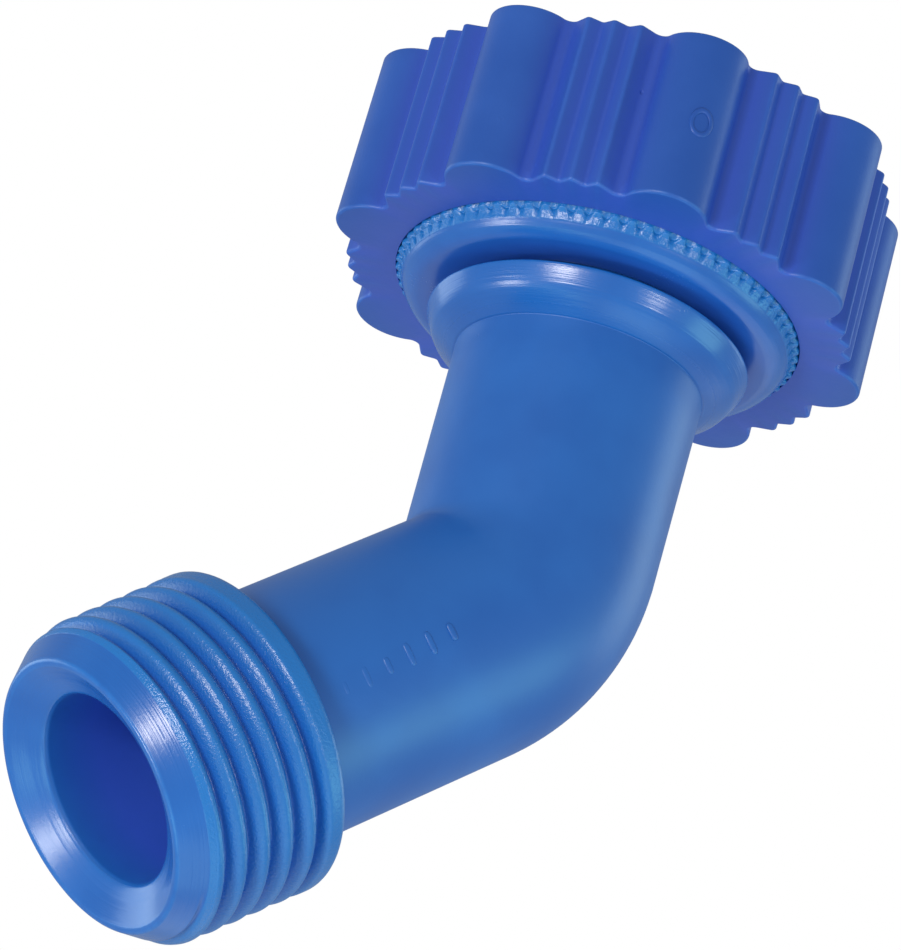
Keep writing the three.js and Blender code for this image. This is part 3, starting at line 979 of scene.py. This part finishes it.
def grip_outline():
    """Half a lobe and the ridges beside it, mirrored: one sector of the grip's outline."""
    def polar(radius, angle):
        return radius * math.cos(angle), radius * math.sin(angle)

    lobe_x = GRIP_R - LOBE_R
    lobe = [(lobe_x + LOBE_R * math.cos(t), LOBE_R * math.sin(t))
            for t in (LOBE_TURN * k / 14 for k in range(15))]
    end_x, end_y = lobe[-1]
    foot = (end_x - VALLEY_REACH * math.sin(LOBE_TURN), end_y + VALLEY_REACH * math.cos(LOBE_TURN))
    half = math.pi / LOBES
    corners = [
        (*lobe[-1], 0.0),
        (*foot, VALLEY_ROUND),
        (*polar(RIDGE_TIP_R, half - RIDGE_STEP), 0.32),
        (*polar(RIDGE_ROOT_R, half - 0.5 * RIDGE_STEP), 0.35),
        (*polar(RIDGE_TIP_R, half), 0.32),
        (*polar(RIDGE_ROOT_R, half + 0.5 * RIDGE_STEP), 0.3),
    ]
    path = rounded(corners, closed=False, spacing=0.25, steps_per_90=8)
    inside = [p for p in path[1:] if math.atan2(p.y, p.x) < half - 1e-3]
    tip = Vector(polar(max(p.length for p in path if abs(math.atan2(p.y, p.x) - half) < 0.01), half))
    upper = [Vector(p) for p in lobe] + inside + [tip]
    lower = [Vector((p.x, -p.y)) for p in reversed(upper[1:])]
    return lower + upper


def ridge_rims(columns):
    """A faint rim on each ridge's tip, from how sharply the outline turns there, for the painted edge
    highlight.
    """
    inner = [0.5 * sharpness(*places) for places in zip(columns, columns[1:], columns[2:])]
    return [0.0, *inner, 0.0]


def grip():
    """One sector of the lobed ring as a closed wall, copied round, with its gate mark."""
    bottom, top = grip_low[2], grip_high[2]
    wall = rounded([
        (0.0, bottom, 0.04),
        (1.0, bottom, GRIP_EDGE),
        (1.0, top, GRIP_EDGE * 0.7),
        (0.0, top, 0.35),
    ], spacing=0.9)
    columns = grip_outline()
    rows = []
    for share, height in wall:
        draft = 1 - GRIP_DRAFT / GRIP_R * (height - bottom) / (top - bottom)
        row = []
        for place in columns:
            outer = place * draft
            bore = outer.normalized() * GRIP_BORE_R
            from_outer = outer - outer.normalized() * (1.0 - share)
            from_bore = bore + bore.normalized() * share
            spot = from_outer if share > 0.5 else from_bore
            row.append(Vector((spot.x, spot.y, height)))
        rows.append(row)
    piece = mesh_piece("lobed_grip", rows, False)
    shares = [step.x for step in wall]
    wall_rim = convexity(wall)
    plan_rim = ridge_rims(columns)
    rim = [max(a, b * (share > 0.5)) for a, share in zip(wall_rim, shares) for b in plan_rim]
    store(piece, "rim", rim)
    # Painted shade: the ridge valleys and roots are painted darker the deeper they lie, and the bore side is
    # painted dark.
    low = [share_of((GRIP_R - p.length) / (GRIP_R - RIDGE_ROOT_R)) ** 2 for p in columns]
    store(piece, "painted_shade", [v if share > 0.5 else 1.0 - share for share in shares for v in low])
    shape(piece, round_array, satin_violet_blue, count=LOBES, phase=LOBE_PHASE)
    gate = gate_ring(
        LOBE_PHASE - math.pi / 2, GATE_OFFSET, GATE_HEIGHT, GATE_HALF_WIDTH, GATE_HALF_HEIGHT, GATE_WIRE
    )
    joined(piece, gate)
    return face_outwards(piece)


elbow_piece = elbow_tube()
tail_piece = tailpiece()
washer_piece = washer()
nut_piece = nut()
grip_piece = grip()

for piece, body, node, slot in (
    (elbow_piece, "elbow", "elbow_body", "glossy_blue_plastic"),
    (tail_piece, "elbow", "tailpiece", "glossy_blue_plastic"),
    (washer_piece, "washer", "hose_washer", "black_rubber"),
    (nut_piece, "nut", "swivel_nut", "glossy_blue_plastic"),
    (grip_piece, "nut", "grip_ring", "satin_blue_plastic"),
):
    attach(piece, body)
    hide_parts(node)


# ---- Camera ----

LENS_MM = 759.47
CAMERA_PLACE = Vector((-434.6, -1333.5, -725.0)) * MM
CAMERA_RIGHT = Vector((0.88144, -0.40739, 0.23896))
CAMERA_UP = Vector((-0.38573, -0.32898, 0.86196))
CAMERA_BACK = Vector((-0.27254, -0.85194, -0.44712))

camera_data = bpy.data.cameras.new("camera")
camera_data.lens = LENS_MM
camera_data.clip_start = 0.05
camera_data.clip_end = 100.0
camera = bpy.data.objects.new("camera", camera_data)
bpy.context.scene.collection.objects.link(camera)
turn = Matrix((CAMERA_RIGHT, CAMERA_UP, CAMERA_BACK)).transposed().to_4x4()
camera.matrix_world = Matrix.Translation(CAMERA_PLACE) @ turn
bpy.context.scene.camera = camera


# ---- Studio ----

LIGHT_DISTANCE = 1.2
ELBOW_MIDDLE = Vector((-8.0, 0.0, -27.0)) * MM
FLOOR_DROP = 1.6

def floor():
    mesh = bmesh.new()
    bmesh.ops.create_grid(mesh, x_segments=1, y_segments=1, size=9.0)
    bmesh.ops.translate(mesh, verts=mesh.verts, vec=(0, 0, -FLOOR_DROP))
    data = bpy.data.meshes.new("floor")
    mesh.to_mesh(data)
    mesh.free()
    plane = bpy.data.objects.new("floor", data)
    bpy.context.scene.collection.objects.link(plane)
    finish = Finish("Pale floor")
    skin = finish.effect(moulded_skin, mottle_size=2.0)
    finish.into("Base Color", finish.blend(skin["Mottle"], (0.86, 0.86, 0.86), (0.90, 0.90, 0.90)))
    finish.shader.inputs["Emission Color"].default_value = (1.0, 1.0, 1.0, 1.0)
    finish.shader.inputs["Emission Strength"].default_value = 0.10
    finish.shader.inputs["Roughness"].default_value = 0.9
    data.materials.append(finish.material)


def soft_light(name, towards, width, height, watts, colour):
    """An area light seen from the elbow in the given direction, given along the camera's own axes."""
    right, up, back = towards
    direction = (CAMERA_RIGHT * right + CAMERA_UP * up + CAMERA_BACK * back).normalized()
    data = bpy.data.lights.new(name, "AREA")
    data.shape = "RECTANGLE"
    data.size = width
    data.size_y = height
    data.energy = watts
    data.color = colour
    lamp = bpy.data.objects.new(name, data)
    lamp.location = ELBOW_MIDDLE + direction * LIGHT_DISTANCE
    lamp.rotation_euler = direction.to_track_quat("Z", "Y").to_euler()
    bpy.context.scene.collection.objects.link(lamp)
    return lamp


def pale_world(camera_level, fill_colour, fill_level):
    world = bpy.data.worlds.new("Pale studio")
    world.use_nodes = True
    tree = world.node_tree
    tree.nodes.clear()
    seen = tree.nodes.new("ShaderNodeBackground")
    seen.inputs["Color"].default_value = (1, 1, 1, 1)
    seen.inputs["Strength"].default_value = camera_level
    fill = tree.nodes.new("ShaderNodeBackground")
    fill.inputs["Color"].default_value = (*fill_colour, 1)
    fill.inputs["Strength"].default_value = fill_level
    mix = tree.nodes.new("ShaderNodeMixShader")
    path = tree.nodes.new("ShaderNodeLightPath")
    out = tree.nodes.new("ShaderNodeOutputWorld")
    tree.links.new(path.outputs["Is Camera Ray"], mix.inputs[0])
    tree.links.new(fill.outputs[0], mix.inputs[1])
    tree.links.new(seen.outputs[0], mix.inputs[2])
    tree.links.new(mix.outputs[0], out.inputs["Surface"])
    bpy.context.scene.world = world


floor()
pale_world(1.0, (0.83, 0.93, 1.0), 0.455)
for light in (
    ("key box", (-0.42, 0.20, 0.88), 0.30, 0.34, 8.0, (1.0, 0.93, 0.86)),
    ("right key box", (0.56, -0.16, 0.81), 0.15, 0.18, 2.3, (1.0, 0.97, 0.90)),
    ("left key box", (-0.87, -0.21, 0.45), 0.26, 0.22, 3.2, (1.0, 0.98, 0.92)),
    ("right low box", (0.84, -0.45, 0.20), 0.60, 0.60, 3.0, (0.40, 1.0, 0.92)),
    ("left low box", (-0.55, -0.65, 0.50), 0.50, 0.50, 1.4, (0.45, 1.0, 0.95)),
    ("low box", (0.0, -0.93, 0.35), 0.80, 0.60, 1.4, (0.50, 0.94, 1.0)),
    ("low back box", (0.1, -0.90, -0.42), 0.80, 0.70, 0.8, (0.85, 0.95, 1.0)),
    ("back left box", (-0.85, 0.10, -0.50), 0.60, 0.60, 2.6, (0.65, 0.85, 1.0)),
    ("back right box", (0.85, -0.10, -0.50), 0.60, 0.60, 2.4, (0.60, 0.88, 1.0)),
):
    soft_light(*light)
bpy.context.scene.view_settings.view_transform = "Standard"
